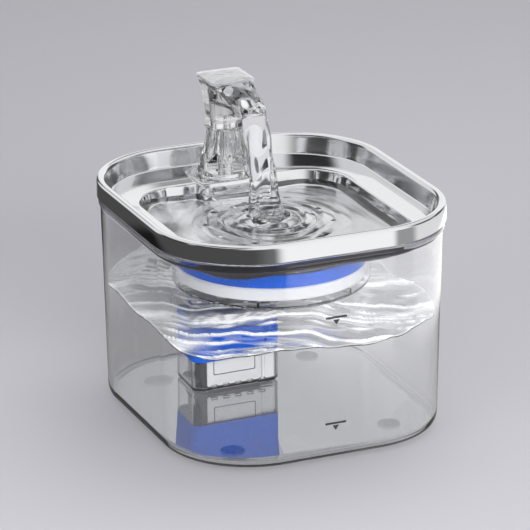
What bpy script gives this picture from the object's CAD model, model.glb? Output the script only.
# %% [markdown]
# # A pet water fountain
# A clear tank holds the water. A mirror-bright steel tray with a drinking basin sits on it, and a pump
# under a filter cup lifts the water through a hose to a clear spout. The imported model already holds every
# solid at its real place and size, so this lesson only gives the fountain its looks: finer surfaces where
# light would show facets, the water itself, and a finish for every piece.
#
# ## The frame
# Everything is in metres, with +Z up, the origin under the middle of the tank and the front towards -Y.

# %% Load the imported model
import bpy
import numpy as np
from mathutils import Matrix, Vector


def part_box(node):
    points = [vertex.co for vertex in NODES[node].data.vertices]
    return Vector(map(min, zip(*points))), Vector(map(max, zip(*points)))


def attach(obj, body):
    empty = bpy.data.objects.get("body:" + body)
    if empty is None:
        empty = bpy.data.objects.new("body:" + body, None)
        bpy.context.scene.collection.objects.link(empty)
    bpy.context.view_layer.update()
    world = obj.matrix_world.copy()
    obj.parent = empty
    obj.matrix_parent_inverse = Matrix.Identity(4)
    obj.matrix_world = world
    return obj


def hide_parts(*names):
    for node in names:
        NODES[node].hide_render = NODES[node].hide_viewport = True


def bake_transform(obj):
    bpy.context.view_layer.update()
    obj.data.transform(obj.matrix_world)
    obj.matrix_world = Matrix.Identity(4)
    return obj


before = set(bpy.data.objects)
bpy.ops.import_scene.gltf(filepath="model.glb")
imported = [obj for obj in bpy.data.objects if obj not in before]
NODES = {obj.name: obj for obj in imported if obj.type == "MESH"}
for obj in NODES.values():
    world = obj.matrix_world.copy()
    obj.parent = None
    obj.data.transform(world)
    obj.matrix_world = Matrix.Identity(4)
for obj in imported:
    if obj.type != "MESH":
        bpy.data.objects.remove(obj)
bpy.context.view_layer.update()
MM = 0.001

# %% [markdown]
# ## Two ways to make a surface
# Nearly every piece here is a stack of rings: a tank, a cup, a disc and a sheet-metal tray are all one
# closed outline that grows, shrinks and rises. So one helper joins the rings of a stack into a skin, and
# another rounds the corners of the profile that says how the outline changes.

# %% Skins from stacks of rings
def stack_faces(rings, columns):
    """Four-sided faces between neighbouring rings: corner (i, j) joins (i, j+1), (i+1, j+1), (i+1, j)."""
    i, j = np.meshgrid(np.arange(rings - 1), np.arange(columns), indexing="ij")
    k = (j + 1) % columns
    quads = [i * columns + j, i * columns + k, (i + 1) * columns + k, (i + 1) * columns + j]
    return np.stack(quads, -1).reshape(-1, 4)


def skin(rings, cap_first=True, cap_last=True):
    """Corners in metres and blocks of faces of a stack of closed rings in millimetres. A cap is a fan of
    triangles from the ring to the mean of its points."""
    rings = np.stack(rings) * MM
    count, columns, _ = rings.shape
    corners = rings.reshape(-1, 3)
    blocks = [stack_faces(count, columns)]
    around = np.arange(columns)
    ahead = np.roll(around, -1)
    for wanted, ring, order in ((cap_first, 0, (ahead, around)), (cap_last, count - 1, (around, ahead))):
        if wanted:
            hub = np.full(columns, len(corners))
            corners = np.vstack([corners, rings[ring].mean(0)])
            base = ring * columns
            blocks.append(np.stack([base + order[0], base + order[1], hub], -1))
    return corners, blocks


def volume(corners, blocks):
    """Six times the enclosed volume, by summing corner triple products: below zero if it is inside out."""
    total = 0.0
    for block in blocks:
        for step in range(1, block.shape[1] - 1):
            a, b, c = (corners[block[:, n]] for n in (0, step, step + 1))
            total += np.einsum("ij,ij->i", a, np.cross(b, c)).sum()
    return total


def turned(blocks):
    """The same faces, seen from their other side."""
    return [block[:, ::-1] for block in blocks]


print("faces between three rings of four", len(stack_faces(3, 4)))

# %% Making and placing a piece
def make_piece(name, parts, sharp=40, closed=True):
    """One mesh object from one or more (corners, blocks) parts. Closed parts are turned the right way out.
    Edges that bend by more than sharp degrees stay crisp and the rest shade smoothly."""
    all_corners, all_faces, base = [], [], 0
    for corners, blocks in parts:
        if closed and volume(corners, blocks) < 0:
            blocks = turned(blocks)
        all_corners.append(corners)
        for block in blocks:
            all_faces += (block + base).tolist()
        base += len(corners)
    mesh = bpy.data.meshes.new(name)
    mesh.from_pydata(np.vstack(all_corners), [], all_faces)
    mesh.polygons.foreach_set("use_smooth", np.ones(len(mesh.polygons), bool))
    mesh.set_sharp_from_angle(angle=np.radians(sharp))
    piece = bpy.data.objects.new(name, mesh)
    bpy.context.scene.collection.objects.link(piece)
    print(name, len(mesh.vertices), "corners", len(mesh.polygons), "faces")
    return piece


def place(piece, body, material, slot, *nodes):
    """Dresses a finished piece, lets it ride on its body and hides the CAD nodes that it stands for."""
    piece.data.materials.append(material)
    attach(piece, body)
    if nodes:
        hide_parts(*nodes)


# %% Faces, corners and boxes
def face_values(piece, name):
    """The center or the normal of every face, as three rows: x, y and z."""
    values = np.empty(len(piece.data.polygons) * 3)
    piece.data.polygons.foreach_get(name, values)
    return values.reshape(-1, 3).T


def paint(piece, name, value_of):
    """Keeps a value for each corner, worked out from its place in millimetres, for a finish to read."""
    corners = np.empty(len(piece.data.vertices) * 3)
    piece.data.vertices.foreach_get("co", corners)
    values = value_of(*corners.reshape(-1, 3).T / MM)
    attribute = piece.data.attributes.new(name, "FLOAT", "POINT")
    attribute.data.foreach_set("value", values.astype(np.float32))


def dress_faces(piece, *finishes):
    """Gives some faces a finish of their own, from pairs of a material and a mask over all faces."""
    index = np.zeros(len(piece.data.polygons), np.int32)
    for finish, chosen in finishes:
        index[chosen] = len(piece.data.materials)
        piece.data.materials.append(finish)
    piece.data.polygons.foreach_set("material_index", index)
    print(piece.name, "faces with a finish of their own", int((index > 0).sum()))


def box_mm(node):
    """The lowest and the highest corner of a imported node's box, in millimetres."""
    return (np.array(corner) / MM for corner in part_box(node))


def levels(node):
    """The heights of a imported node's underside and top, in millimetres."""
    return (corner[2] for corner in box_mm(node))


print("the tank stands from and to", [round(z, 1) for z in levels("tank")])

# %% Rounding a profile
def rounded(points, radii, steps=5):
    """A line through points whose corners are eased. Each corner is left r before and met r after, and a
    parabola (1-t)^2 a + 2t(1-t) b + t^2 c joins the two."""
    points = np.array(points, float)
    line = [points[:1]]
    share = np.linspace(0, 1, steps)[:, None]
    for before, corner, after, r in zip(points, points[1:], points[2:], radii):
        reach_in, reach_out = np.linalg.norm(corner - before), np.linalg.norm(after - corner)
        near = min(r, 0.49 * reach_in, 0.49 * reach_out)
        a = corner + (before - corner) * near / reach_in
        c = corner + (after - corner) * near / reach_out
        line.append((1 - share) ** 2 * a + 2 * share * (1 - share) * corner + share**2 * c)
    line.append(points[-1:])
    return np.vstack(line)


def subdivided(line, step):
    """The same line with extra points, so that no stretch of it is longer than step."""
    made = [line[:1]]
    for a, b in zip(line, line[1:]):
        cuts = max(1, int(np.ceil(np.linalg.norm(b - a) / step)))
        made.append(a + (b - a) * (np.arange(1, cuts + 1) / cuts)[:, None])
    return np.vstack(made)


print("points along one eased corner", len(rounded([(0, 0), (1, 0), (1, 1)], (0.2,))))

# %% [markdown]
# ## Outlines
# The rim, the tank and the water all follow rounded rectangles. A lap is one walk round such an outline:
# for each column it holds which corner centre the point belongs to and the direction in which it lies.

# %% A lap round a rounded rectangle
def lap(corner_steps, *sides):
    """Columns of a walk round, anticlockwise from the right side: shares of the corner centres' x and y,
    and the angle of the outward direction. Each of the four sides, from the right one on, is given by how
    many points lie inside it or by their positions, from -1 to 1."""
    quarter = np.linspace(0, np.pi / 2, corner_steps + 1)
    sides = [np.linspace(-1, 1, s + 2)[1:-1] if isinstance(s, int) else s for s in sides]
    right, back, left, front = sides
    x, y, turn = [], [], []
    for quadrant, (sx, sy, side) in enumerate([(1, 1, back), (-1, 1, left), (-1, -1, front), (1, -1, right)]):
        flat = np.ones(len(side))
        along = ((-side, flat), (-flat, -side), (side, -flat), (flat, side))[quadrant]
        x += [np.full(corner_steps + 1, sx, float), along[0]]
        y += [np.full(corner_steps + 1, sy, float), along[1]]
        turn += [quarter + quadrant * np.pi / 2, flat * (quadrant + 1) * np.pi / 2]
    return np.concatenate(x), np.concatenate(y), np.concatenate(turn)


def outline(columns, centre_x, centre_y, radius, middle=0.0):
    """Points of one ring: corner centre plus radius times direction, in plan."""
    share_x, share_y, turn = columns
    x = share_x * centre_x + radius * np.cos(turn)
    y = middle + share_y * centre_y + radius * np.sin(turn)
    return np.stack([x, y], -1)


def level_ring(plan, z):
    """A ring in plan lifted to one height, or to a height for each of its points."""
    return np.column_stack([plan, np.broadcast_to(z, len(plan))])


def upright_ring(section, y):
    """A ring of x and z stood up at one depth."""
    return np.insert(section, 1, y, axis=1)


def box_ring(columns, x_low, x_high, y_low, y_high, r):
    """A rounded rectangle between four limits, in plan."""
    x, y = (x_low + x_high) / 2, (y_low + y_high) / 2
    return outline(columns, (x_high - x_low) / 2 - r, (y_high - y_low) / 2 - r, r) + (x, y)


def turned_ring(turn, radius, middle_y, z):
    """A ring with its own radius in each direction, round a point on the middle plane."""
    return level_ring(np.stack([radius * np.cos(turn), middle_y + radius * np.sin(turn)], -1), z)


def disc_rings(profile, columns=128, middle=(0, 0)):
    """Rings of a turned shape: circles of the profile's radius at its height."""
    turn = np.arange(columns) * 2 * np.pi / columns
    radius, z = np.array(profile, float).T
    x = middle[0] + radius[:, None] * np.cos(turn)
    y = middle[1] + radius[:, None] * np.sin(turn)
    return np.stack([x, y, np.repeat(z[:, None], columns, 1)], -1)


PLAIN_LAP = lap(28, 3, 3, 3, 3)
print("columns of the plain lap", len(PLAIN_LAP[0]))

# %% [markdown]
# ## Sizes
# The rim's width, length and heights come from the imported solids. The few radii that a box can't tell are
# written here once.

# %% Sizes of the rim and the tank
_, rim_high = box_mm("tray")
tank_low, tank_high = box_mm("tank")
RIM_R = 59
CORNER_X = rim_high[0] - RIM_R
CORNER_Y = rim_high[1] - RIM_R
RIM_TOP = rim_high[2]
TANK_TOP = tank_high[2]
TANK_INSET = 1.9
TANK_DRAFT = 2.6
TANK_WALL = 2.0
TANK_FLOOR = tank_low[2] + 2.4
print("rim top", round(RIM_TOP, 2), "corner centres", round(CORNER_X, 2), round(CORNER_Y, 2))


def tank_in(z):
    """How far the tank's outer wall stands in from the rim's outline at height z: the wall leans evenly."""
    return TANK_INSET + TANK_DRAFT * (1 - z / TANK_TOP)


def from_core(x, y):
    """Distance in plan to the rectangle of the corner centres: RIM_R on the rim's outline."""
    return np.hypot(np.maximum(np.abs(x) - CORNER_X, 0), np.maximum(np.abs(y) - CORNER_Y, 0))


# %% [markdown]
# ## Finishes
# Clear plastic, silicone and water bend light, so each is a Principled shader with full transmission. Rays
# from the lamps would stop at such a surface and leave black shadows, so for those rays alone the shader
# hands over to a Transparent one.

# %% Node helpers
def new_material(name):
    """An empty material with a Principled shader, and its node tree."""
    material = bpy.data.materials.new(name)
    material.use_nodes = True
    return material, material.node_tree, material.node_tree.nodes["Principled BSDF"]


def join(tree, value, socket):
    """Links another node's output to a socket, or sets a plain value on it."""
    if isinstance(value, bpy.types.NodeSocket):
        tree.links.new(value, socket)
    else:
        socket.default_value = value


def feed(tree, node, **sockets):
    """Puts values or links on a node's named inputs, with _ for each space in a name."""
    for name, value in sockets.items():
        join(tree, value, node.inputs[name.replace("_", " ")])
    return node


def add(tree, kind, **sockets):
    """A new node with values or links on its named inputs."""
    return feed(tree, tree.nodes.new(kind), **sockets)


def math_node(tree, operation, *values):
    """A Math node with values or links on its inputs in order."""
    node = tree.nodes.new("ShaderNodeMath")
    node.operation = operation
    for value, socket in zip(values, node.inputs):
        join(tree, value, socket)
    return node.outputs[0]


def product(tree, first, *others):
    """All the values multiplied together."""
    for other in others:
        first = math_node(tree, "MULTIPLY", first, other)
    return first


def remap(tree, value, low, high, start=0.0, end=1.0):
    """From low to high while the value goes from start to end, and level beyond them."""
    node = add(tree, "ShaderNodeMapRange", Value=value, From_Min=start, From_Max=end, To_Min=low, To_Max=high)
    return node.outputs[0]


def tinted(tree, colour, level):
    """A colour times a value that varies over the surface."""
    node = tree.nodes.new("ShaderNodeVectorMath")
    node.operation = "SCALE"
    node.inputs[0].default_value = colour
    return feed(tree, node, Scale=level).outputs[0]


def mixed(tree, share, first, second):
    """The first shader where share is 0 and the second where it is 1."""
    node = tree.nodes.new("ShaderNodeMixShader")
    for value, socket in zip((share, first, second), node.inputs):
        tree.links.new(value, socket)
    return node.outputs[0]


def own_place(tree):
    """The piece's own coordinates."""
    return tree.nodes.new("ShaderNodeTexCoord").outputs["Object"]


def painted(tree, name):
    """A value that was painted on the piece's corners."""
    node = tree.nodes.new("ShaderNodeAttribute")
    node.attribute_name = name
    return node.outputs["Fac"]


print("the sockets' names are those of Blender", bpy.app.version_string)

# %% Shared grain
def grain_group():
    """The grain that nearly every finish shares: noise over the piece's own coordinates, stretched along
    the axes. It puts out one value that varies over the surface."""
    group = bpy.data.node_groups.new("grain", "ShaderNodeTree")
    for name, kind in (("Scale", "Float"), ("Detail", "Float"), ("Stretch", "Vector")):
        group.interface.new_socket(name, in_out="INPUT", socket_type="NodeSocket" + kind)
    group.interface.new_socket("Grain", in_out="OUTPUT", socket_type="NodeSocketFloat")
    start = group.nodes.new("NodeGroupInput")
    end = group.nodes.new("NodeGroupOutput")
    mapping = add(group, "ShaderNodeMapping", Vector=own_place(group), Scale=start.outputs["Stretch"])
    noise = add(group, "ShaderNodeTexNoise", Vector=mapping.outputs[0], Scale=start.outputs["Scale"],
                Detail=start.outputs["Detail"])
    group.links.new(noise.outputs["Fac"], end.inputs["Grain"])
    return group


GRAIN = grain_group()
print("the shared grain has", [item.name for item in GRAIN.interface.items_tree])


def grain(tree, scale, detail=2.0, stretch=(1, 1, 1)):
    """The shared grain placed in a material with its own scale, detail and stretch."""
    node = tree.nodes.new("ShaderNodeGroup")
    node.node_tree = GRAIN
    return feed(tree, node, Scale=scale, Detail=detail, Stretch=stretch).outputs["Grain"]


def bumped(tree, shader, height, distance, strength=0.5):
    """Feeds a height through a Bump node into the shader's normal."""
    bump = add(tree, "ShaderNodeBump", Height=height, Distance=distance, Strength=strength)
    feed(tree, shader, Normal=bump.outputs["Normal"])


# %% Two kinds of finish
def clear(name, tint, ior, roughness=0.0, shadow=0.97, bump=None, through=1.0, mirror=0.0):
    """A see-through finish: full transmission, and light passes straight through it for shadow rays."""
    material, tree, shader = new_material(name)
    feed(tree, shader, Base_Color=(*tint, 1), Transmission_Weight=through, Metallic=mirror, IOR=ior,
         Roughness=roughness)
    if bump:
        bumped(tree, shader, grain(tree, bump[0]), bump[1], 0.4)
    passing = add(tree, "ShaderNodeBsdfTransparent", Color=(shadow, shadow, shadow, 1))
    shadow_ray = tree.nodes.new("ShaderNodeLightPath").outputs["Is Shadow Ray"]
    surface = mixed(tree, shadow_ray, shader.outputs[0], passing.outputs[0])
    feed(tree, tree.nodes["Material Output"], Surface=surface)
    return material


def solid(name, colour, roughness, vary=0.04, scale=300, bump=0.00003, metallic=0.0, stretch=(1, 1, 1)):
    """An opaque finish whose colour and roughness vary a little with noise, which also lifts its surface."""
    material, tree, shader = new_material(name)
    noise = grain(tree, scale, 3.0, stretch)
    shade = remap(tree, noise, 1 - vary, 1 + vary)
    feed(tree, shader, Base_Color=tinted(tree, colour, shade), Metallic=metallic,
         Roughness=remap(tree, noise, roughness * 0.8, roughness * 1.2))
    if bump:
        bumped(tree, shader, noise, bump)
    return material


print("what a solid finish has if nothing is said", solid.__defaults__)

# %% The finishes
CLEAR_TANK = clear("clear_tank", (0.975, 0.98, 0.985), 1.47, bump=(28, 0.00012))
CLEAR_CUP = clear("clear_cup", (0.96, 0.97, 0.98), 1.47, bump=(35, 0.00008))
CLEAR_CASE = clear("clear_case", (0.93, 0.94, 0.95), 1.47, bump=(45, 0.00008))
CLEAR_SPOUT = clear("clear_spout", (0.985, 0.99, 0.995), 1.49, mirror=0.16, bump=(60, 0.00005))
CLEAR_HEAD = clear("clear_head", (0.99, 0.99, 0.995), 1.49, mirror=0.1, bump=(60, 0.00005))
FROSTED = clear("frosted_cap", (0.9, 0.905, 0.915), 1.49, roughness=0.1, through=0.82, bump=(150, 0.0016))
SATIN = clear("satin_channel", (0.97, 0.975, 0.98), 1.49, roughness=0.22, through=0.8, bump=(500, 0.00003))
WET_FLOOR = clear("wet_floor", (0.74, 0.745, 0.765), 1.47, mirror=0.4, bump=(28, 0.00008))
CLEAR_PAD = clear("clear_pad", (0.99, 0.99, 0.995), 1.41, roughness=0.02, through=0.95, mirror=0.3,
                  bump=(260, 0.0015))
CLEAR_HOSE = clear("clear_hose", (0.93, 0.94, 0.95), 1.41, roughness=0.05, bump=(200, 0.00005))
WATER = clear("water", (0.985, 0.99, 1.0), 1.333, bump=(110, 0.00006))
POOL_WATER = clear("pool_water", (0.985, 0.99, 1.0), 1.333, mirror=0.14, bump=(110, 0.00008))
WHITE = solid("white_plastic", (0.9, 0.9, 0.91), 0.32, vary=0.02, scale=120)
SILICONE = solid("white_silicone", (0.74, 0.75, 0.77), 0.55, vary=0.03, scale=200)
DARK = solid("dark_rubber", (0.03, 0.03, 0.032), 0.6, vary=0.1, scale=400)
GREY = solid("grey_plastic", (0.09, 0.092, 0.1), 0.45)
INK = solid("mark_ink", (0.03, 0.03, 0.034), 0.6, vary=0.08, scale=900, bump=0)
CARBON = solid("carbon", (0.012, 0.012, 0.013), 0.8, vary=0.5, scale=900, bump=0.0004)
CORE = solid("core_steel", (0.32, 0.33, 0.35), 0.45, vary=0.1, scale=900, metallic=1.0, stretch=(1, 8, 1))
COPPER = solid("copper_wire", (0.62, 0.27, 0.12), 0.35, vary=0.15, scale=600, metallic=1.0,
               stretch=(0.2, 1, 4))
RESIN = solid("resin", (0.02, 0.02, 0.022), 0.4)
CERAMIC = solid("ceramic", (0.84, 0.84, 0.86), 0.25, vary=0.02)
DULL_STEEL = solid("dull_steel", (0.16, 0.155, 0.17), 0.5, vary=0.08, scale=300, metallic=1.0)
SMOKED = clear("smoked_rib", (0.3, 0.3, 0.33), 1.47, shadow=0.8, bump=(28, 0.00012))
FERRITE = solid("ferrite", (0.05, 0.05, 0.055), 0.55, vary=0.15, scale=900, bump=0.0001)
print("materials", len(bpy.data.materials))

# %% [markdown]
# ## Steel
# The tray is pressed from thin steel and polished until it mirrors the room. What still shows is a faint
# brushing along the rim: long thin noise that barely lifts the surface.

# %% Polished steel
def polished_steel():
    """Mirror steel: low roughness that drifts a little, softer where softness is painted on and towards the
    basin's floor, with faint long scratches in the normal."""
    material, tree, shader = new_material("polished_steel")
    drift = remap(tree, grain(tree, 60), 0.035, 0.075)
    softer = remap(tree, painted(tree, "softness"), 0.0, 0.075)
    height = add(tree, "ShaderNodeSeparateXYZ", Vector=own_place(tree)).outputs["Z"]
    satin = remap(tree, height, 0.15, 0.0, 0.1125, 0.116)
    rough = math_node(tree, "MAXIMUM", math_node(tree, "ADD", drift, softer), satin)
    feed(tree, shader, Base_Color=(0.85, 0.853, 0.868, 1), Metallic=1, Roughness=rough)
    bumped(tree, shader, grain(tree, 700, 3.0, (0.15, 0.15, 3)), 0.00001, 0.12)
    return material


STEEL = polished_steel()
print("nodes in the steel", len(STEEL.node_tree.nodes))

# %% [markdown]
# ## The camera
# A long lens from the front left, a little above the rim, looking down by twenty degrees.

# %% Camera
AZIMUTH, ELEVATION, ROLL = np.radians([-23.08, 20.19, -0.45])
DISTANCE = 2.0856
AIM = np.array([0, 0, 0.06976])
SIDE_PX = 530
FOCAL_PX = 3497.5
CENTRE_PX = np.array([270.13, 297.37])
SENSOR_MM = 36

back = np.array([np.sin(AZIMUTH), -np.cos(AZIMUTH), 0]) * np.cos(ELEVATION) + (0, 0, np.sin(ELEVATION))
level_right = np.cross(-back, (0, 0, 1))
level_right /= np.linalg.norm(level_right)
level_up = np.cross(level_right, -back)
right = level_right * np.cos(ROLL) + level_up * np.sin(ROLL)
up = -level_right * np.sin(ROLL) + level_up * np.cos(ROLL)
offset = (SIDE_PX / 2 - CENTRE_PX) / FOCAL_PX
axis = -back + right * offset[0] - up * offset[1]
axis /= np.linalg.norm(axis)
right -= axis * (right @ axis)
right /= np.linalg.norm(right)
up = np.cross(right, axis)
camera_data = bpy.data.cameras.new("camera")
camera_data.sensor_width = SENSOR_MM
camera_data.lens = FOCAL_PX * SENSOR_MM / SIDE_PX
camera_data.clip_start, camera_data.clip_end = 0.05, 50
camera = bpy.data.objects.new("camera", camera_data)
bpy.context.scene.collection.objects.link(camera)
pose = Matrix.Identity(4)
pose.col[0][:3], pose.col[1][:3], pose.col[2][:3] = right, up, -axis
pose.col[3][:3] = AIM + back * DISTANCE
camera.matrix_world = pose
bpy.context.scene.camera = camera
print("camera at", [round(c, 3) for c in pose.col[3][:3]], "lens", round(camera_data.lens, 1))

# %% [markdown]
# ## Cutting
# Holes and slots are cut with closed shapes after a skin is made. That keeps every skin a plain stack of
# rings, and the cut edges come out crisp, as a drill or a mould core leaves them.

# %% Cutting tools
def carve(piece, cutters, sharp=60, operation="DIFFERENCE"):
    """Cuts closed skins out of a piece, or joins them to it, and keeps the result in its mesh. Edges that
    bend by more than sharp degrees are crisp afterwards."""
    for cutter_skin in cutters:
        cutter = make_piece("cutter", [cutter_skin])
        cut = piece.modifiers.new("cut", "BOOLEAN")
        cut.operation, cut.solver, cut.object = operation, "EXACT", cutter
        graph = bpy.context.evaluated_depsgraph_get()
        carved = bpy.data.meshes.new_from_object(piece.evaluated_get(graph))
        piece.modifiers.clear()
        piece.data = carved
        bpy.data.objects.remove(cutter)
    piece.data.set_sharp_from_angle(angle=np.radians(sharp))


def slot_box(x, y, z, w, l, h):
    """A closed box for cutting a slot, from its middle and its three lengths in millimetres."""
    ring = np.array([(-w, -l), (w, -l), (w, l), (-w, l)]) / 2
    return skin([level_ring(ring, level) + (x, y, z) for level in (-h / 2, h / 2)])


print("corners of a slot box", len(slot_box(0, 0, 0, 1, 1, 1)[0]))

# %% [markdown]
# ## The tank
# A moulded box with round corners, walls that lean in a little towards the table, and a small shoulder
# under the skirt of the tray. Its skin is one profile, up the outside and down the inside, carried round.

# %% The tank
RIB = {"low": 122.6, "high": 128.6, "in": 1.0}
FLOOR_REACH = 14
GROMMET = {"x": 20.0, "z": 112.0, "hole": 4.6, "boss": 8.5, "out": 0.6}


def tank_profile():
    """Outer floor, rounded foot, leaning wall, shoulder, top edge, and the same way back inside."""
    low, floor = tank_low[2], TANK_FLOOR
    rib_out = RIB["in"] - TANK_INSET
    points = [
        (FLOOR_REACH - RIM_R, low), (-tank_in(low), low), (-tank_in(RIB["low"]), RIB["low"]),
        (rib_out, RIB["low"] + 1.6), (rib_out, RIB["high"] - 1.2),
        (-tank_in(RIB["high"]), RIB["high"]), (-TANK_INSET, TANK_TOP), (-TANK_INSET - TANK_WALL, TANK_TOP),
        (-tank_in(floor) - TANK_WALL, floor), (FLOOR_REACH - RIM_R, floor),
    ]
    return rounded(points, (7.5, 0.9, 1.2, 1.2, 0.6, 0.4, 0.4, 6), 9)


def through_back(radius, y_low, y_high):
    """A closed round bar through the back wall at the cord's place, from its radius and two depths."""
    x, y, z = np.moveaxis(disc_rings([(radius, y_low), (radius, y_high)], 48), -1, 0)
    return skin(np.stack([x + GROMMET["x"], z, GROMMET["z"] - y], -1))


rings = [level_ring(outline(PLAIN_LAP, CORNER_X, CORNER_Y, RIM_R + d), z) for d, z in tank_profile()]
tank = make_piece("tank_shell", [skin(rings)], sharp=60)
outside = rim_high[1] - tank_in(GROMMET["z"])
boss = (outside - TANK_WALL - GROMMET["out"], outside + GROMMET["out"])
carve(tank, [through_back(GROMMET["boss"], *boss)], operation="UNION")
carve(tank, [through_back(GROMMET["hole"], outside - 9, outside + 9)])
place(tank, "tank", CLEAR_TANK, "clear_plastic", "tank")
x, y, z = face_values(tank, "center") / MM
on_rib = (np.abs(z - (RIB["low"] + RIB["high"]) / 2) < 2.6) & (from_core(x, y) > RIM_R - 1.6)
dress_faces(tank, (WET_FLOOR, np.abs(z - TANK_FLOOR) < 0.2), (SMOKED, on_rib))

# %% [markdown]
# ## Feet
# Four soft clear pads keep the tank from sliding. Each is a turned button with two ring grooves underneath,
# and it is those rings that glint through the floor of the tank.

# %% Feet
FOOT_R = 7.2


def feet():
    """A profile with two grooves underneath, turned four times near the corners of the node's box."""
    foot_low, foot_high = box_mm("feet")
    low, high = foot_low[2], foot_high[2]
    far = foot_high[:2] - FOOT_R
    points = [(0.6, 0.9), (1.6, 0.9), (2.4, low), (3.6, low), (4.0, 0.8), (4.6, 0.8), (5.0, low), (6.7, low),
              (FOOT_R, 0.7), (FOOT_R, high), (0.6, high)]
    profile = rounded(points, (0.3, 0.3, 0.3, 0.2, 0.2, 0.3, 0.5, 0.4, 0.3), 4)
    places = [(sx * far[0], sy * far[1]) for sx in (-1, 1) for sy in (-1, 1)]
    piece = make_piece("foot_pads", [skin(disc_rings(profile, 72, at)) for at in places], sharp=50)
    place(piece, "tank", CLEAR_PAD, "clear_pad", "feet")


feet()

# %% [markdown]
# ## The steel tray
# One pressed sheet: a skirt outside the tank, a rolled bead, a wall down to a dished flange, and a
# deep basin with a raised platform for the spout. Rings of the rim's outline turn into rings of the
# basin's outline, and the platform is lifted out of them by a smooth maximum of two heights.

# %% Lap of the tray
BASIN = {"x": 39.0, "y": 41.0, "r": 30.0, "middle": -7.0}
PLATFORM = {"w": 44.0, "l": 36.0, "r": 8.0, "y": 69.0}
STRAIGHT_HALF = 27
SKIRT_LOW = 128.8
BEAD_IN = 4.9
SHEET = 0.7
EDGE_Z = 125.5
FLOOR_Z = 111.5
FLANGE_Z = 127.5
platform_side = PLATFORM["w"] / 2
fine = np.linspace(platform_side - 3, platform_side + 4, 19)
half_back = np.concatenate([np.linspace(0, platform_side - 8, 8), np.linspace(15, 18, 5), fine, [28.5]])
back_mm = np.concatenate([-half_back[:0:-1], half_back])
TRAY_LAP = lap(24, 16, back_mm / CORNER_X, 16, 20)


def basin_lap():
    """The tray's lap for the basin's outline: its back columns keep their places, so that the columns
    along the platform's sides run straight."""
    share_x, share_y, turn = TRAY_LAP
    on_back = (share_y == 1) & (np.abs(turn - np.pi / 2) < 1e-9)
    x = np.abs(share_x) * CORNER_X
    reach = [0, STRAIGHT_HALF, CORNER_X], [0, STRAIGHT_HALF, BASIN["x"]]
    kept = np.sign(share_x) * np.interp(x, *reach) / BASIN["x"]
    return np.where(on_back, kept, share_x), share_y, turn


BASIN_LAP = basin_lap()
print("columns of the tray's lap", len(TRAY_LAP[0]))


def basin_outline(inset):
    """The basin's outline drawn in by inset, which is one value or one for each column."""
    return outline(BASIN_LAP, BASIN["x"], BASIN["y"], BASIN["r"] - inset, BASIN["middle"])


# %% Height of the pressed sheet
def box_distance(x, y, w, l, r, middle_y):
    """Signed distance in plan to a rounded rectangle, below zero inside."""
    dx = np.abs(x) - w / 2 + r
    dy = np.abs(y - middle_y) - l / 2 + r
    outside = np.hypot(np.maximum(dx, 0), np.maximum(dy, 0))
    return outside + np.minimum(np.maximum(dx, dy), 0) - r


def smooth_max(a, b, width):
    """The larger of two heights, with the crease between them rounded over about width."""
    share = np.clip(0.5 + (b - a) / (2 * width), 0, 1)
    return a + (b - a) * share + width * share * (1 - share)


def platform_height(x, y):
    """The platform's top, falling to the basin's floor in an S over the last few millimetres."""
    distance = box_distance(x, y, PLATFORM["w"], PLATFORM["l"], PLATFORM["r"], PLATFORM["y"])
    fall = np.clip((distance + 1.4) / 3.2, 0, 1)
    return FLANGE_Z + (FLOOR_Z - 1 - FLANGE_Z) * fall**2 * (3 - 2 * fall)


print("platform's top", platform_height(0, PLATFORM["y"]), "and beside it", platform_height(0, 0))

# %% The pressed sheet
def tray_rings():
    """The whole tray as one stack of rings, from the skirt's lower edge to the middle of the basin."""
    outer = [(0, SKIRT_LOW), (0, RIM_TOP), (-BEAD_IN, RIM_TOP), (-BEAD_IN - 2.6, FLANGE_Z),
             (-BEAD_IN - 4.4, FLANGE_Z)]
    outer = subdivided(rounded(outer, (2.4, 2.4, 1.5), 9), 1.6)
    rings = [level_ring(outline(TRAY_LAP, CORNER_X, CORNER_Y, RIM_R + d), z) for d, z in outer]
    start = rings[-1]
    for share in np.linspace(0, 1, 28)[1:]:
        plan = start[:, :2] * (1 - share) + basin_outline(0) * share
        rings.append(level_ring(plan, FLANGE_Z + (EDGE_Z - FLANGE_Z) * share))
    wall = rounded([(-0.01, EDGE_Z), (2, EDGE_Z), (5.6, FLOOR_Z), (20, FLOOR_Z)], (2.6, 3.2), 9)
    left_over = rings[-1][:, 2] - EDGE_Z
    for inset, z in subdivided(wall[1:], 0.45):
        rings.append(level_ring(basin_outline(inset), z + left_over * np.clip((z - FLOOR_Z) / 12, 0, 1)))
    inner = rings[-1]
    middle = np.array([0, BASIN["middle"], FLOOR_Z])
    rings += [middle + (inner - middle) * share for share in np.linspace(1, 0, 10)[1:-1]]
    rings = np.stack(rings)
    within = np.arange(len(rings)) >= len(outer) - 6
    rings[within, :, 2] = smooth_max(rings[within, :, 2], platform_height(*rings[within, :, :2].T).T, 0.5)
    return rings


def softness(x, y, z):
    """How much softer than the rim the steel's mirror is: 0 outside the bead, and up to 1 within it."""
    within = np.clip((RIM_R - from_core(x, y) - 3.6) / 1.2, 0, 1)
    return within * (0.2 + 0.8 * np.clip((z - 128.2) / 1.2, 0, 1))


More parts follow.
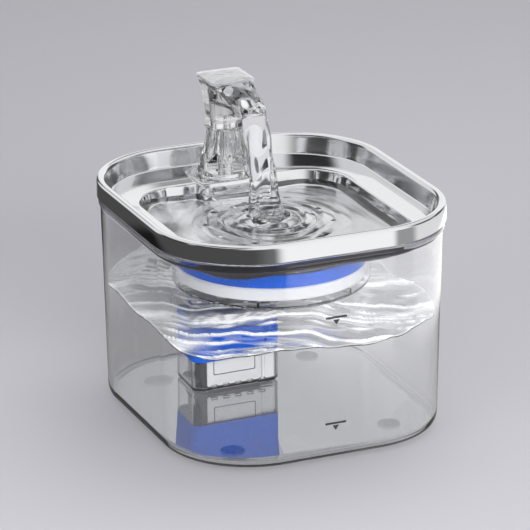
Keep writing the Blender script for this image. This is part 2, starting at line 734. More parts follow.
tray = make_piece("steel_tray", [skin(tray_rings(), False)], sharp=60, closed=False)
sheet = tray.modifiers.new("sheet", "SOLIDIFY")
sheet.thickness = SHEET * MM
sheet.offset = -1
sheet.material_offset = 1
place(tray, "tray", STEEL, "steel", "tray")
tray.data.materials.append(DULL_STEEL)
DRAIN = {"count": 10, "r": 2.0, "out": 38, "first": 18}
drills = []
for angle in np.radians(DRAIN["first"] + 360 / DRAIN["count"] * np.arange(DRAIN["count"])):
    at = (DRAIN["out"] * np.cos(angle), DRAIN["out"] * np.sin(angle))
    drills.append(skin(disc_rings([(DRAIN["r"], FLOOR_Z - 3), (DRAIN["r"], FLOOR_Z + 3)], 24, at)))
carve(tray, drills)
paint(tray, "softness", softness)

# %% [markdown]
# ## Discs and blocks of the filter
# A cotton disc with a carbon core and a blue foam disc lie in the cup, and a block of the same foam sits on
# the pump. Foam cut with a hot wire has eased edges and a face full of open cells, so the shapes are softly
# rounded stacks and the cells come from the finish.

# %% Foam and cotton finishes
def open_cell_foam():
    """Blue foam: cells from a Voronoi pattern darken the colour in their middles and dent the surface."""
    material, tree, shader = new_material("blue_foam")
    cells = add(tree, "ShaderNodeTexVoronoi", Vector=own_place(tree), Scale=900.0).outputs["Distance"]
    level = product(tree, remap(tree, cells, 0.72, 1.1, 0.0, 0.7), remap(tree, grain(tree, 45), 0.92, 1.08))
    blue = tinted(tree, (0.0, 0.12, 0.72), level)
    feed(tree, shader, Base_Color=blue, Roughness=0.85, Specular_IOR_Level=0.1)
    bumped(tree, shader, cells, 0.0004, 0.7)
    return material


BLUE_FOAM = open_cell_foam()
COTTON = solid("cotton", (0.86, 0.865, 0.88), 0.9, vary=0.05, scale=500, bump=0.0005)
print("nodes in the foam", len(BLUE_FOAM.node_tree.nodes))

# %% Filter discs
DISC_R = 56.7


def disc_skin(low, high, radius, ease):
    """A disc turned from half of its section: from the underside's middle round the edge to the top's."""
    points = [(radius * 0.2, low), (radius, low), (radius, high), (radius * 0.2, high)]
    return skin(disc_rings(rounded(points, (ease, ease), 6)))


def filter_disc(name, node, material, slot, ease, core=None):
    """A padded disc with eased edges, and a hollow in it for the core if it holds one."""
    parts = [disc_skin(*levels(node), DISC_R, ease)]
    if core:
        corners, blocks = disc_skin(*levels(core), DISC_R - 3, 0.2)
        parts.append((corners, turned(blocks)))
    piece = make_piece(name, parts, closed=not core)
    place(piece, "filter_cup", material, slot, node)


filter_disc("foam_disc", "filter_foam", BLUE_FOAM, "blue_foam", 1.0)
filter_disc("cotton_disc", "filter_cotton", COTTON, "cotton", 2.0, "filter_carbon")

# %% Blocks with a hole for the hose
CASE_X, CASE_Y = -11.0, 43.75
CASE_W, CASE_L, CASE_R = 58.0, 38.5, 7.0
HOSE_Y = 52.25
BLOCK_LAP = lap(10, 7, 12, 7, 12)
CASE_WALL = 1.6
FOAM_HOLE, HOOD_HOLE = 6.4, 6.5
POCKET = {"left": 1.7, "right": 16.3, "front": 27.7, "rear": 59.3, "over": 0.3}
SLOTS = {"count": 5, "step": 8, "up": 2.9, "size": (4, 5, 1.4)}


def case_ring(inset, z):
    """The pump case's outline, drawn in by inset, at height z."""
    x, y = CASE_W / 2 - inset, CASE_L / 2 - inset
    plan = box_ring(BLOCK_LAP, CASE_X - x, CASE_X + x, CASE_Y - y, CASE_Y + y, max(CASE_R - inset, 0.6))
    return level_ring(plan, z)


def hose_ring(radius, z):
    """A circle round the hose with one point for each column, in the direction of the case's outline."""
    x, y = (case_ring(0, z)[:, :2] - (0, HOSE_Y)).T
    return turned_ring(np.unwrap(np.arctan2(y, x)), radius, HOSE_Y, z)


def between(a, b, steps):
    """Rings that turn evenly from ring a to ring b, leaving out the first."""
    return [a * (1 - share) + b * share for share in np.linspace(0, 1, steps + 1)[1:]]


def loop_skin(rings):
    """Skin of a stack of rings whose last ring joins the first, like a tyre."""
    return skin([*rings, rings[0]], False, False)


def foam_block():
    """Up round the outside, in over the top to the hose, down its hole and out again to the pocket in which
    the pump sits, so that the last ring meets the first underneath."""
    low, high = levels("foam_block")
    pump_low, pump_high = box_mm("pump_body")
    outer = rounded([(0.0, low), (0.0, high), (8.0, high)], (1.6,), 6)
    rings = [case_ring(inset, z) for inset, z in subdivided(outer[:-1], 2.5)]
    roof = pump_high[2] + POCKET["over"]
    rings += between(rings[-1], hose_ring(FOAM_HOLE, high), 8)
    rings += between(rings[-1], hose_ring(FOAM_HOLE, roof), 3)
    limits = pump_low[0] - POCKET["left"], POCKET["right"], POCKET["front"], POCKET["rear"]
    plan = box_ring(BLOCK_LAP, *limits, 1)
    rings += between(rings[-1], level_ring(plan, roof), 2)
    rings += between(rings[-1], level_ring(plan, low), 2)
    piece = make_piece("foam_filter", [loop_skin(rings)], sharp=50)
    place(piece, "tank", BLUE_FOAM, "blue_foam", "foam_block")


foam_block()

# %% [markdown]
# ## The pump's clear case and hood
# Two clear mouldings hold the foam: a tray below with a row of slots along its foot, and a hood above with
# a hole for the hose. Their eased edges are what catches the light.

# %% Case and hood
def hood():
    """Up the outside, in over the top to the hose's hole, and back down the inside one wall further in."""
    low, high = levels("pump_hood")
    roof = high - CASE_WALL
    outer = rounded([(0.0, low), (0.0, high), (9.0, high)], (2.4,), 7)[:-1]
    inner = rounded([(9.0, roof), (CASE_WALL, roof), (CASE_WALL, low)], (1.6,), 6)[1:]
    rings = [case_ring(inset, z) for inset, z in outer]
    rings += between(rings[-1], hose_ring(HOOD_HOLE, high), 3)
    rings += between(rings[-1], hose_ring(HOOD_HOLE, roof), 1)
    rings += between(rings[-1], case_ring(*inner[0]), 3)
    rings += [case_ring(inset, z) for inset, z in inner[1:]]
    piece = make_piece("pump_hood_shell", [loop_skin(rings)], sharp=60)
    place(piece, "tank", CLEAR_CASE, "clear_cup", "pump_hood")


def case():
    """From the middle of the underside round the outside and back in, with a row of slots at the foot."""
    low, high = levels("pump_case")
    floor = low + CASE_WALL
    outer = rounded([(14.0, low), (0.0, low), (0.0, high)], (1.8,), 7)
    inner = rounded([(CASE_WALL, high), (CASE_WALL, floor), (14.0, floor)], (1.2,), 5)
    rings = [case_ring(inset, z) for inset, z in np.vstack([outer, inner])]
    piece = make_piece("pump_case_shell", [skin(rings)], sharp=60)
    places = (np.arange(SLOTS["count"]) - SLOTS["count"] // 2) * SLOTS["step"] + CASE_X
    carve(piece, [slot_box(x, CASE_Y - CASE_L / 2, low + SLOTS["up"], *SLOTS["size"]) for x in places])
    place(piece, "tank", CLEAR_CASE, "clear_cup", "pump_case")


def front_loop(box, inset, depth, corner):
    """A rounded rectangle standing on the pump's front: the box's x and z limits, drawn in by inset."""
    x0, x1, z0, z1 = box
    plan = box_ring(BLOCK_LAP, x0 + inset, x1 - inset, z0 + inset, z1 - inset, corner)
    return upright_ring(plan, depth)


def pump_face():
    """The pump's white front plate with eased edges, and the raised line round its removable panel."""
    low, high = box_mm("pump_body")
    whole = (low[0] + 0.4, high[0] - 0.4, low[2] + 0.4, high[2] - 0.4)
    edge = [(0, 0.1), (0, -0.4), (0.35, -0.7)]
    plate = skin([front_loop(whole, inset, low[1] + depth, 1.2) for inset, depth in edge])
    place(make_piece("pump_face_plate", [plate], sharp=50), "tank", WHITE, "white_plastic")
    panel = (low[0] + 4.5, high[0] - 4.5, low[2] + 7.5, high[2] - 1.6)
    edge = [(0, -0.65), (0, -0.85), (0.55, -0.85), (0.55, -0.65)]
    line = loop_skin([front_loop(panel, inset, low[1] + depth, 1.0) for inset, depth in edge])
    place(make_piece("pump_face_frame", [line], sharp=30), "tank", GREY, "white_plastic")


hood()
case()
pump_face()

# %% [markdown]
# ## The spout
# A clear, faceted column stands on the platform, pinches at a collar and opens into a pouring head. Its
# section is a rounded octagon: the p-norm of the distances to eight flat sides. High p keeps the sides flat
# and the arrises tight, and the light breaks up in them.

# %% The spout's column
SPOUT_Y = 68.0
SPOUT_TURN = np.arange(192) * 2 * np.pi / 192
BORE_R = 2.5


def polygon_radius(turn, sides, half_width, power):
    """Radius of a rounded polygon in each direction: half_width over the p-norm of the cosines."""
    facing = np.arange(sides) * 2 * np.pi / sides
    cosines = np.maximum(np.cos(turn[:, None] - facing), 0)
    return half_width / (cosines**power).sum(1) ** (1 / power)


def column_ring(half_width, z, squareness, share=0.0):
    """One ring of the column: between a circle and an octagon by squareness. Above a zigzag line, which
    peaks in the middle of each side, two hollow flutes are cut into every side."""
    octagon = polygon_radius(SPOUT_TURN, 8, half_width, 90)
    radius = half_width * (1 - squareness) + octagon * squareness
    from_side = np.abs((SPOUT_TURN / (np.pi / 4) + 0.5) % 1 - 0.5) * 2
    line = 0.30 + 0.24 * (1 - from_side)
    cut = np.clip((share - line) / 0.05, 0, 1)
    radius = radius - cut * (0.25 + 0.65 * np.abs(np.sin(8 * SPOUT_TURN)))
    return turned_ring(SPOUT_TURN, radius, SPOUT_Y, z)


def spout_column():
    """Stem, foot flange, tapering column and collar from the outside, and the bore on the way back down."""
    stem_low, _ = levels("spout_base")
    foot, neck = 127.7, 159.0
    rings = [column_ring(3.8, z, 0) for z in (stem_low + 0.3, 118, foot + 1.7)]
    rings += [column_ring(9.8, foot + 1.7, 0), column_ring(9.8, foot, 0)]
    rings += [column_ring(r, foot + up, 1) for r, up in ((16.3, 0), (16.7, 0.4), (16.7, 1.4))]
    for t in np.linspace(0, 1, 46):
        z = foot + 1.8 + (neck - 2.0 - foot - 1.8) * t
        rings.append(column_ring(10.3 + 5.9 * (1 - t) ** 1.25, z, 1, t))
    collar = ((11.2, 157.3), (11.7, 157.8), (11.7, 158.6), (11.3, neck - 0.05))
    rings += [column_ring(radius, z, 0.6) for radius, z in collar]
    rings += [column_ring(BORE_R, z, 0) for z in (neck - 0.05, 130, stem_low + 0.3)]
    piece = make_piece("spout_column", [loop_skin(rings)], sharp=14)
    place(piece, "spout", CLEAR_SPOUT, "spout_clear", "spout_base")


spout_column()

# %% The spout's head
HEAD_LAP = lap(8, 18, 6, 18, 8)
LIP_Y, LIP_HALF = 26.0, 9.6
CAP_HALF, CAP_BACK, CAP_FRONT, HEAD_TOP = 13.75, 79.5, 52.5, 188.0


def head_form():
    """The head's outside as level rings: its back leans out in a hollow curve, its underside sweeps forward
    to the lip, and above the lip the front runs back up to the cap."""
    heights = np.concatenate([np.linspace(159, 169, 9), np.linspace(169.5, 175, 14), [176, 177.3],
                              np.linspace(178.5, HEAD_TOP - 1.4, 11), [HEAD_TOP - 1.2, HEAD_TOP]])
    rise = (heights - 159) / (HEAD_TOP - 159)
    half = 9.6 + (CAP_HALF - 9.6) * rise**1.6
    y_back = 77.8 - 0.6 * np.sin(np.pi * rise) + (CAP_BACK - 77.8) * rise**2
    under = 58.4 - (58.4 - LIP_Y) * np.clip((heights - 159) / 16, 0, 1) ** 3.4
    over = LIP_Y + (CAP_FRONT - LIP_Y) * np.clip((heights - 178.5) / (HEAD_TOP - 178.5), 0, 1) ** 1.15
    y_front = np.where(heights > 178.4, over, under)
    rings = []
    for z, w, far, near in zip(heights, half, y_back, y_front):
        if z > HEAD_TOP - 1.3:
            w, far, near = w - 1.1, far - 1.1, near + 1.1
        plan = box_ring(HEAD_LAP, -w, w, near, far, 3.6)
        forward = np.clip((60 - plan[:, 1]) / (60 - LIP_Y), 0, 1)
        plan[:, 0] *= 1 + (LIP_HALF / w - 1) * forward
        rings.append(level_ring(plan, z))
    return skin(rings)


def head_hollow():
    """The channel through the head, as upright rings along y: a round-bottomed slot that opens at the
    front and over the ramp, and ends in a well under the cap."""
    way = np.array([18.0, 26, 34, 42, 50, 52.4, 54, 60, 66, 70])
    floor = np.interp(way, [18, 26, 40, 60, 66, 70], [176.3, 176.5, 177.5, 175, 174, 176])
    roof = np.where(way < 52.5, 193.0, 186.4)
    half = np.interp(way, [18, 26, 52, 66, 70], [LIP_HALF - 1.7, LIP_HALF - 1.7, 10.2, 8.6, 5])
    rings = []
    for y, low, high, w in zip(way, floor, roof, half):
        rings.append(upright_ring(box_ring(BLOCK_LAP, -w, w, low, high, 3.2), y))
    return skin(rings)


def spout_head():
    """The form less its channel and bore. The trough's floor is matt and the seam under the cap is dark."""
    piece = make_piece("spout_pouring_head", [head_form()])
    bore = skin(disc_rings([(BORE_R, 150), (BORE_R, 180)], 48, (0, SPOUT_Y)))
    carve(piece, [head_hollow(), bore], 32)
    place(piece, "spout", CLEAR_HEAD, "spout_clear", "spout_head")
    x, y, z = face_values(piece, "center") / MM
    facing_up = face_values(piece, "normal")[2]
    trough = (z > 173.5) & (z < 178.4) & (np.abs(x) < 9.8) & (y > LIP_Y + 0.3) & (facing_up > 0.5)
    seam = (z > HEAD_TOP - 1.25) & (z < HEAD_TOP - 0.02) & (np.abs(facing_up) < 0.6)
    dress_faces(piece, (SATIN, trough), (SMOKED, seam))


spout_head()


def spout_cap():
    """A nearly clear, mottled plate with eased edges that closes the head."""
    profile = rounded([(-8, HEAD_TOP), (0, HEAD_TOP), (0, HEAD_TOP + 2), (-8, HEAD_TOP + 2)], (0.5, 0.7), 5)
    corner = 3
    w, l = CAP_HALF + 0.5 - corner, 13.9 - corner
    rings = []
    for d, z in profile:
        drawn_in = min(d + corner, 0)
        plan = outline(BLOCK_LAP, w + drawn_in, l + drawn_in, max(corner + d, 0.2), 66.4)
        rings.append(level_ring(plan, z))
    place(make_piece("spout_cap_plate", [skin(rings)]), "spout", FROSTED, "spout_clear", "spout_cap")


spout_cap()

# %% [markdown]
# ## Running water
# Water leaves the head in one rounded sheet, bends over the lip and falls into the basin. Two curves in the
# middle plane, one for its front and one for its back, carry an oval section between them.

# %% The stream
# Front y and z, back y and z, and half the width, from inside the head down to the basin.
STREAM = [
    (60, 186, 60, 178.4, 5.5), (54, 187.6, 54, 178.2, 7.4), (47, 189.4, 46, 178, 7.7),
    (39, 189.9, 38, 178, 7.7), (31, 189.2, 32, 177.4, 7.7), (25, 186.8, 27.5, 176.9, 7.7),
    (20.4, 182.6, 24.9, 176, 7.7), (17.6, 176.4, 23.2, 173, 7.8), (15.2, 169, 21.6, 167, 7.8),
    (12.6, 161, 19.4, 159, 7.8), (9.8, 152.5, 16.8, 151, 7.9), (6.8, 144.4, 14.2, 143, 8.2),
    (3.2, 134, 11.4, 133, 8.8), (-0.6, 125, 9.6, 125, 9.8), (-4.6, 120.2, 9.8, 120.2, 11.4),
    (-6, 117.5, 10.6, 117.5, 11.6),
]


def smooth_track(points, count):
    """A smooth line through the points: Catmull-Rom cubics, worked out for all positions at once."""
    points = np.array(points, float)
    padded_points = np.vstack([2 * points[0] - points[1], points, 2 * points[-1] - points[-2]])
    place_on = np.linspace(0, len(points) - 1.000001, count)
    k = place_on.astype(int)
    t = (place_on - k)[:, None]
    p0, p1, p2, p3 = (padded_points[k + n] for n in range(4))
    slope, bend, twist = p2 - p0, 2 * p0 - 5 * p1 + 4 * p2 - p3, 3 * p1 - p0 - 3 * p2 + p3
    return 0.5 * (2 * p1 + slope * t + bend * t**2 + twist * t**3)


def stream():
    """Oval sections between the two curves. The power 0.75 of sine and cosine squares the oval a little,
    and waves that grow with the fall swell it."""
    count, around = 150, 64
    front_y, front_z, rear_y, rear_z, half = smooth_track(STREAM, count).T[..., None]
    turn = np.arange(around) * 2 * np.pi / around
    box_cos, box_sin = (np.sign(wave) * np.abs(wave) ** 0.75 for wave in (np.cos(turn), np.sin(turn)))
    along = np.linspace(0, 1, count)[:, None]
    falling = np.clip((along - 0.4) / 0.2, 0, 1)
    waves = 0.13 * np.sin(3 * turn + 16 * along) + 0.11 * np.sin(4 * turn - 21 * along + 1)
    swell = 1 + (waves + 0.05 * np.sin(38 * along)) * (0.35 + 0.65 * falling)
    x = half * box_sin * (1 + 0.5 * (swell - 1))
    y = (front_y + rear_y) / 2 + (front_y - rear_y) / 2 * box_cos * swell
    z = (front_z + rear_z) / 2 + (front_z - rear_z) / 2 * box_cos * swell
    piece = make_piece("water_stream", [skin(np.stack([x, y, z], -1))], sharp=80)
    piece.data.materials.append(WATER)
    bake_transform(piece)


stream()

# %% [markdown]
# ## Water in the basin
# The water lies a little above the middle of the basin's wall and the stream sends rings across it. Its
# skin is a top of concentric rings of points, with a height that is a sum of waves, and sides that follow
# the steel a hair inside it.

# %% Basin water
WATER_Z = 119.8
SPLASH = np.array([1.0, 0.5])
WATER_MIDDLE = np.array([0.0, -7.0])


def ripple_height(x, y):
    """Rings run out from the splash and die away, with a crown round it, two slower swells across them and
    a heap at the left rear."""
    across, back = x - SPLASH[0], y - SPLASH[1]
    away, turn = np.hypot(across, back), np.arctan2(back, across)
    phase = (away + 0.9 * np.sin(3 * turn + 0.12 * away)) * 0.66 - 1.2
    wave = 0.8 * np.sin(phase) + 0.28 * np.sin(2 * phase + 0.9)
    rings = wave * np.exp(-((away / 32) ** 2)) * np.clip(away / 8, 0, 1)
    crown = 1.5 * np.exp(-(((away - 12.0) / 2.4) ** 2)) * (0.6 + 0.4 * np.sin(5 * turn + 1.0))
    swell = 0.3 * np.sin(0.09 * x + 0.06 * y + 1) + 0.15 * np.sin(0.14 * y - 0.11 * x)
    heap = 4.4 * np.exp(-(((x + 58) / 13) ** 2) - ((y - 40) / 19) ** 2)
    return rings + crown + swell + heap


def water_edge(level):
    """The basin's outline at a height, one for all columns or one for each, a hair clear of the steel and
    with a notch where the platform stands."""
    t = np.interp(level, [FLOOR_Z, FLOOR_Z + 1.5, EDGE_Z - 1.5, EDGE_Z], [7.6, 5.4, 2.4, 0.4]) - 0.3
    edge = basin_outline(t)
    x, y = edge.T
    front_wall = PLATFORM["y"] - PLATFORM["l"] / 2 + 0.4
    notch = (y > front_wall) & (np.abs(x) < platform_side - 1.2)
    edge[notch, 1] = front_wall
    return edge


def basin_water():
    """Concentric rings under the ripples' height, then the sides and floor along the steel. The edge is
    found twice, so that it follows the wall at the ripples' own height."""
    top_edge = water_edge(WATER_Z)
    top_edge = water_edge(WATER_Z + ripple_height(*top_edge.T))
    rings = []
    for share in np.linspace(0.02, 1, 110) ** 0.9:
        plan = WATER_MIDDLE + (top_edge - WATER_MIDDLE) * share
        rings.append(level_ring(plan, WATER_Z + ripple_height(*plan.T)))
    rings += [level_ring(water_edge(level), level) for level in (117.0, 115.0, 113.0, 111.3)]
    floor = rings[-1].mean(0)
    rings.append(floor + (rings[-1] - floor) * 0.05)
    place(make_piece("basin_water", [skin(rings)], sharp=80), "tray", WATER, "spout_clear")


basin_water()

# %% [markdown]
# ## Water in the tank
# The pump stirs the tank, so its surface runs in short steep waves. Only the moving top layer is made: a
# thin sheet whose two sides carry the same waves, which bends the view of the foam behind it into streaks.
# A film of froth lies on it, white on the crests.

# %% Tank water
TANK_WATER_Z = 73.0
POOL_LAP = lap(36, 44, 36, 44, 36)
POOL_R = RIM_R - tank_in(TANK_WATER_Z) - TANK_WALL


def long_waves(x, y):
    """Two slow swells that slant across the tank."""
    return 2.6 * np.sin(0.055 * x - 0.03 * y + 0.4) + 1.8 * np.sin(0.035 * x + 0.09 * y + 1.1)


def crests(x, y):
    """Narrow ridges, 1 on their line and 0 between: a warped phase runs across the tank, and a high power
    of the cosine leaves only its tops. A second slow wave breaks them up."""
    across = 0.22 * (y + 0.43 * x) * (1 + 0.18 * np.clip(-x / 50, 0, 1.5))
    phase = across + 1.2 * np.sin(0.05 * x + 0.035 * y) + 0.5 * np.sin(0.13 * x - 0.05 * y + 2)
    ridge = np.abs(np.cos(phase)) ** 36
    broken = np.clip(0.75 + 0.6 * np.sin(0.09 * x + 0.22 * y) + 0.4 * np.sin(0.21 * x - 0.1 * y + 1), 0, 1)
    return ridge * broken


def tank_surface(x, y):
    """The water's height: its rest level, the swells, the crests and a short chop."""
    chop = 0.35 * np.sin(0.27 * x - 0.12 * y + 1.1 * np.sin(0.06 * y)) + 0.15 * np.sin(0.5 * y + 0.3 * x)
    return TANK_WATER_Z + long_waves(x, y) + 0.5 * crests(x, y) + chop


def pool_sheet(name, upper, lower, low, high):
    """A closed sheet between two heights, on rings from share low to share high of the tank's inside."""
    edge = outline(POOL_LAP, CORNER_X, CORNER_Y, POOL_R - 0.05)
    plans = [edge * share for share in np.linspace(low, high, 110)]
    rings = [level_ring(plan, upper(*plan.T)) for plan in plans]
    rings += [level_ring(plan, lower(*plan.T)) for plan in plans[::-1]]
    return make_piece(name, [skin(rings)], sharp=80)


tank_water = pool_sheet("tank_water", tank_surface, lambda x, y: tank_surface(x, y) - 0.5, 0.01, 1)
place(tank_water, "tank", POOL_WATER, "clear_plastic")

# %% Froth
def froth_finish():
    """White froth that shows where the crest attribute is high, with fine bubbles from noise."""
    material, tree, shader = new_material("froth")
    bubbles = remap(tree, grain(tree, 420, 3.0), 0.8, 1.0, 0.25, 0.7)
    cover = product(tree, painted(tree, "crest"), bubbles)
    feed(tree, shader, Alpha=cover, Base_Color=(0.97, 0.975, 0.985, 1), Roughness=0.35, Metallic=0.2)
    feed(tree, shader, Emission_Color=cover, Emission_Strength=0.55)
    return material


def froth_cover(x, y):
    """How white the surface is, from 0 to 1: full on the crests, thin in broad veils at both sides, and a
    lumpy patch where the pump's outflow churns it."""
    beside = np.clip((np.abs(x + 14) - 44) / 20, 0, 1)
    folds = np.sin(0.13 * (y + 0.43 * x) + 1.4 * np.sin(0.05 * x + 0.4))
    veil = beside * (0.18 + 0.5 * np.maximum(folds, 0) ** 3 + 0.1 * np.sin(0.08 * x + 0.05 * y + 2))
    down = (y + 30) + 0.43 * (x + 34)
    churned = 0.95 * np.exp(-(((x + 34) / 30) ** 2 + (down / 15) ** 2) ** 2)
    broken = 0.7 + 0.4 * np.sin(0.55 * x + 1.3 * np.sin(0.3 * y)) * np.sin(0.6 * y + np.sin(0.4 * x))
    front = np.clip((-18 - y) / 20, 0.3, 1)
    at_wall = 0.5 * np.clip(1 - (POOL_R - from_core(x, y)) / 1.8, 0, 1)
    return np.clip(1.5 * front * crests(x, y) + veil + churned * broken + at_wall, 0, 0.97)


def froth_top(x, y):
    """The froth stands up from the water by its cover, so the lamp in front reaches its slopes."""
    lumps = 0.5 + 0.5 * np.sin(1.1 * x + 1.7 * np.sin(0.5 * y)) * np.sin(0.9 * y + np.sin(0.7 * x))
    return tank_surface(x, y) + 0.12 + froth_cover(x, y) * (0.5 + 0.6 * lumps)


froth = pool_sheet("tank_froth", froth_top, lambda x, y: tank_surface(x, y) + 0.06, 0.02, 0.995)
paint(froth, "crest", lambda x, y, z: froth_cover(x, y))
place(froth, "tank", froth_finish(), "clear_plastic")

# %% [markdown]
# ## Studio
# A plain pale floor, a wide soft lamp above and one each in front and at the left. Steel and glass have no
# look of their own, only what they mirror, so photographers stand white panels and black flags round them.
# Here those panels are a ramp over the compass, which only mirrored and bent rays see.

# %% Panels round the object
def smooth_step(tree, value, start, end):
    """From 0 at start to 1 at end, eased at both."""
    step = add(tree, "ShaderNodeMapRange", Value=value, From_Min=start, From_Max=end)
    step.interpolation_type = "SMOOTHSTEP"
    return step.outputs[0]


def window(tree, value, start, full, fade, end):
    """0 before start, 1 from full to fade and 0 after end, with both edges eased."""
    return product(tree, smooth_step(tree, value, start, full), smooth_step(tree, value, end, fade))


def compass_panels(tree, vector, panels):
    """Brightness by compass direction, in degrees from +Y (0) over +X (90) round to -Y (180)."""
    parts = add(tree, "ShaderNodeSeparateXYZ", Vector=vector)
    turn = math_node(tree, "ARCTAN2", parts.outputs["X"], parts.outputs["Y"])
    ramp = add(tree, "ShaderNodeValToRGB", Fac=remap(tree, turn, 0.0, 1.0, -np.pi, np.pi))
    ramp.color_ramp.interpolation = "EASE"
    stops = ramp.color_ramp.elements
    for degrees, value in panels[1:-1]:
        stops.new((degrees + 180) / 360).color = (value, value, value, 1)
    for stop, (_, value) in ((stops[0], panels[0]), (stops[-1], panels[-1])):
        stop.color = (value, value, value, 1)
    return ramp.outputs["Color"], turn, parts


def mirrored_rays(tree):
    """1 for rays that come off a mirror, 0 for the rest: bent rays count as glossy too, so they are taken
    out. The second value is 1 for rays that came through something clear."""
    path = tree.nodes.new("ShaderNodeLightPath")
    bent = path.outputs["Is Transmission Ray"]
    return product(tree, path.outputs["Is Glossy Ray"], math_node(tree, "SUBTRACT", 1.0, bent)), bent


ROOM_PANELS = [(-180, 0.95), (-168, 0.9), (-140, 0.08), (-102, 0.04), (-92, 0.35), (-84, 0.04), (-52, 0.05),
               (-36, 0.8), (-12, 0.8), (-4, 0.06), (2, 0.06), (12, 0.95), (50, 1.0), (60, 0.10), (80, 0.10),
               (88, 0.30), (96, 0.10), (116, 0.12), (132, 1.0), (180, 0.95)]
FLOOR_PANELS = [(-180, 0.16), (-160, 0.075), (-12, 0.07), (14, 0.8), (90, 0.8), (120, 0.8),
                (130, 0.35), (144, 0.35), (152, 1.02), (167, 1.02), (180, 0.16)]
print("stops round the room", len(ROOM_PANELS), "and on the floor", len(FLOOR_PANELS))

# %% Floor
FLOOR_COLOUR = (0.425, 0.42, 0.446)
PAPER_HALF = 6.0
FAR_FLOOR = {"away": (0.395, 0.425), "rise": 0.85, "least": 0.15}
UNDER_TANK = {"away": (0.36, 0.30), "level": 0.2}
NEAR_CARD = {"away": (0.2, 0.27, 0.405, 0.43), "lean": -0.34, "side": (-0.056, -0.042), "level": 2.3}
PALE_CARD = {"x": (0.02, 0.09), "y": (-0.06, 0.13), "seen": 0.75}


def studio_floor():
    """Paper for the camera and the lamps. Mirrored rays see bright cards on it by compass and distance, and
    bent rays see three quarters of a pale card that brightens to the right and the back."""
    corners = np.array([(-1, -1, 0), (1, -1, 0), (1, 1, 0), (-1, 1, 0)]) * PAPER_HALF
    floor = make_piece("floor", [(corners, [np.array([[0, 1, 2, 3]])])], closed=False)
    material, tree, shader = new_material("floor_paper")
    feed(tree, shader, Base_Color=(*FLOOR_COLOUR, 1), Roughness=0.9, Specular_IOR_Level=0.2)
    panels, _, parts = compass_panels(tree, own_place(tree), FLOOR_PANELS)
    x, y = parts.outputs["X"], parts.outputs["Y"]
    away = math_node(tree, "SQRT", math_node(tree, "MULTIPLY_ADD", x, x, product(tree, y, y)))
    beyond = smooth_step(tree, away, *FAR_FLOOR["away"])
    far = math_node(tree, "MULTIPLY_ADD", beyond, FAR_FLOOR["rise"], FAR_FLOOR["least"])
    inner = smooth_step(tree, away, *UNDER_TANK["away"])
    level = math_node(tree, "MULTIPLY_ADD", inner, UNDER_TANK["level"], product(tree, panels, far))
    aside = smooth_step(tree, math_node(tree, "MULTIPLY_ADD", away, NEAR_CARD["lean"], x), *NEAR_CARD["side"])
    card = product(tree, panels, window(tree, away, *NEAR_CARD["away"]), aside)
    level = math_node(tree, "MULTIPLY_ADD", card, NEAR_CARD["level"], level)
    shining = add(tree, "ShaderNodeEmission", Color=(1, 1, 1, 1), Strength=level)
    to_back = math_node(tree, "MULTIPLY_ADD", smooth_step(tree, y, *PALE_CARD["y"]), 0.45, 0.55)
    to_right = product(tree, smooth_step(tree, x, *PALE_CARD["x"]), to_back)
    pale_level = math_node(tree, "MULTIPLY_ADD", to_right, 0.42, 0.31)
    pale = add(tree, "ShaderNodeEmission", Color=(0.98, 0.97, 1.0, 1), Strength=pale_level)
    mirrored, through = mirrored_rays(tree)
    surface = mixed(tree, product(tree, through, PALE_CARD["seen"]), shader.outputs[0], pale.outputs[0])
    surface = mixed(tree, mirrored, surface, shining.outputs[0])
    feed(tree, tree.nodes["Material Output"], Surface=surface)
    floor.data.materials.append(material)


studio_floor()

# %% Lamps
LAMPS = {
    "top_lamp": {"at": (0.5, 0.3, 1.5), "aim": (0, 0, 0.1), "size": (1.2, 1.2), "watts": 10.5},
    "front_lamp": {"at": (0.1, -1.6, 0.6), "aim": (0, 0, 0.08), "size": (1.2, 0.7), "watts": 35},
    "side_lamp": {"at": (-1.3, -0.6, 0.5), "aim": (0, 0, 0.08), "size": (0.8, 0.8), "watts": 11.5},
}


def soft_lamp(name, at, aim, size, watts):
    """A rectangular lamp turned towards a point, which no mirrored or bent ray sees."""
    light = bpy.data.lights.new(name, "AREA")
    light.shape = "RECTANGLE"
    light.size, light.size_y = size
    light.energy = watts
    lamp = bpy.data.objects.new(name, light)
    lamp.location = at
    lamp.rotation_euler = (Vector(aim) - Vector(at)).to_track_quat("-Z", "Y").to_euler()
    lamp.visible_glossy = False
    lamp.visible_transmission = False
    bpy.context.scene.collection.objects.link(lamp)


for lamp_name, lamp_facts in LAMPS.items():
    soft_lamp(lamp_name, **lamp_facts)
print("lamps", len(bpy.data.lights))

# %% World
UPPER_PANELS = {"height": (22, 31), "level": 0.8}
CEILING = {"height": (50, 62), "level": 0.9}
BENT_FROM = (6, 14)
FLAG_DEPTH = 0.97
BLACK_FLAGS = [((21.5, 23, 35, 39), (25.5, 27, 39, 43)), ((-172, -150, -92, -66), (40, 46, 68, 74))]


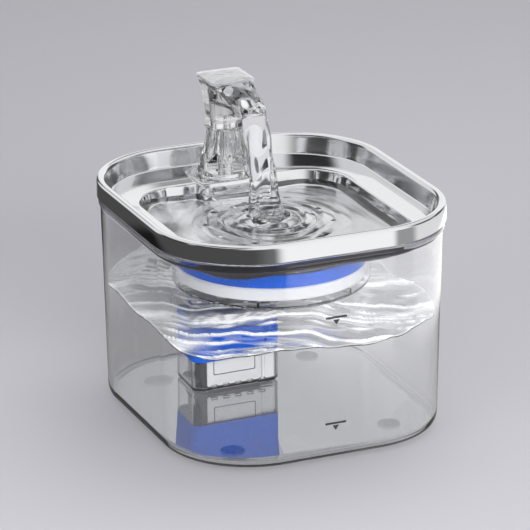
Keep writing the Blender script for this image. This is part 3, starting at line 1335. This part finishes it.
def studio_world():
    """Even light on what isn't shiny, a pale haze for the camera and for bent rays, and for mirrored rays
    panels round the compass under a bright ceiling, with two black flags given by compass and height."""
    world = bpy.data.worlds.new("studio")
    world.use_nodes = True
    bpy.context.scene.world = world
    tree = world.node_tree
    even = feed(tree, tree.nodes["Background"], Color=(0.9, 0.9, 0.93, 1), Strength=0.64)
    toward = tree.nodes.new("ShaderNodeTexCoord").outputs["Generated"]
    ring, turn, parts = compass_panels(tree, toward, ROOM_PANELS)
    height = math_node(tree, "ARCSINE", parts.outputs["Z"])
    mirrored, through = mirrored_rays(tree)
    upper = smooth_step(tree, height, *np.radians(UPPER_PANELS["height"]))
    upper = product(tree, upper, mirrored, UPPER_PANELS["level"])
    over = smooth_step(tree, height, *np.radians(CEILING["height"]))
    walls = product(tree, math_node(tree, "MAXIMUM", ring, upper), math_node(tree, "SUBTRACT", 1.0, over))
    level = math_node(tree, "MULTIPLY_ADD", over, CEILING["level"], walls)
    for sides, rows in BLACK_FLAGS:
        flag = product(tree, window(tree, turn, *np.radians(sides)), window(tree, height, *np.radians(rows)))
        level = product(tree, level, math_node(tree, "MULTIPLY_ADD", flag, -FLAG_DEPTH, 1.0))
    room = add(tree, "ShaderNodeBackground", Color=(1, 1, 1, 1), Strength=level)
    haze = add(tree, "ShaderNodeBackground", Color=(0.97, 0.97, 1, 1), Strength=0.85)
    bent = product(tree, through, smooth_step(tree, height, *np.radians(BENT_FROM)))
    straight = tree.nodes.new("ShaderNodeLightPath").outputs["Is Camera Ray"]
    haze_seen = math_node(tree, "MAXIMUM", straight, through)
    surface = mixed(tree, haze_seen, even.outputs[0], haze.outputs[0])
    surface = mixed(tree, math_node(tree, "MAXIMUM", mirrored, bent), surface, room.outputs[0])
    feed(tree, tree.nodes["World Output"], Surface=surface)


studio_world()
bpy.context.scene.view_settings.view_transform = "Standard"
print("nodes in the world", len(bpy.context.scene.world.node_tree.nodes))

# %% [markdown]
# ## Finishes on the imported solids
# Pieces whose own mesh is fine enough keep it and get their finish here.

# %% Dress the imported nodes
FINISHES = [
    (CLEAR_PAD, "suction_cups"), (CLEAR_CUP, "cup_collar filter_cup"), (CLEAR_HOSE, "riser_hose"),
    (DARK, "cord_grommet spout_oring chamber_seal cable_gland shaft_bushes"), (INK, "level_marks"),
    (WHITE, "chamber_cover intake_cover outlet_nozzle impeller"), (GREY, "pump_body flow_slider"),
    (SILICONE, "tray_gasket spout_grommet"), (CARBON, "filter_carbon"), (CORE, "stator_core"),
    (COPPER, "stator_coil"), (RESIN, "potting"), (CERAMIC, "pump_shaft"), (FERRITE, "rotor_magnet"),
]
for finish, names in FINISHES:
    for name in names.split():
        materials = NODES[name].data.materials
        materials.clear()
        materials.append(finish)
print("packed nodes dressed", sum(len(names.split()) for _, names in FINISHES))
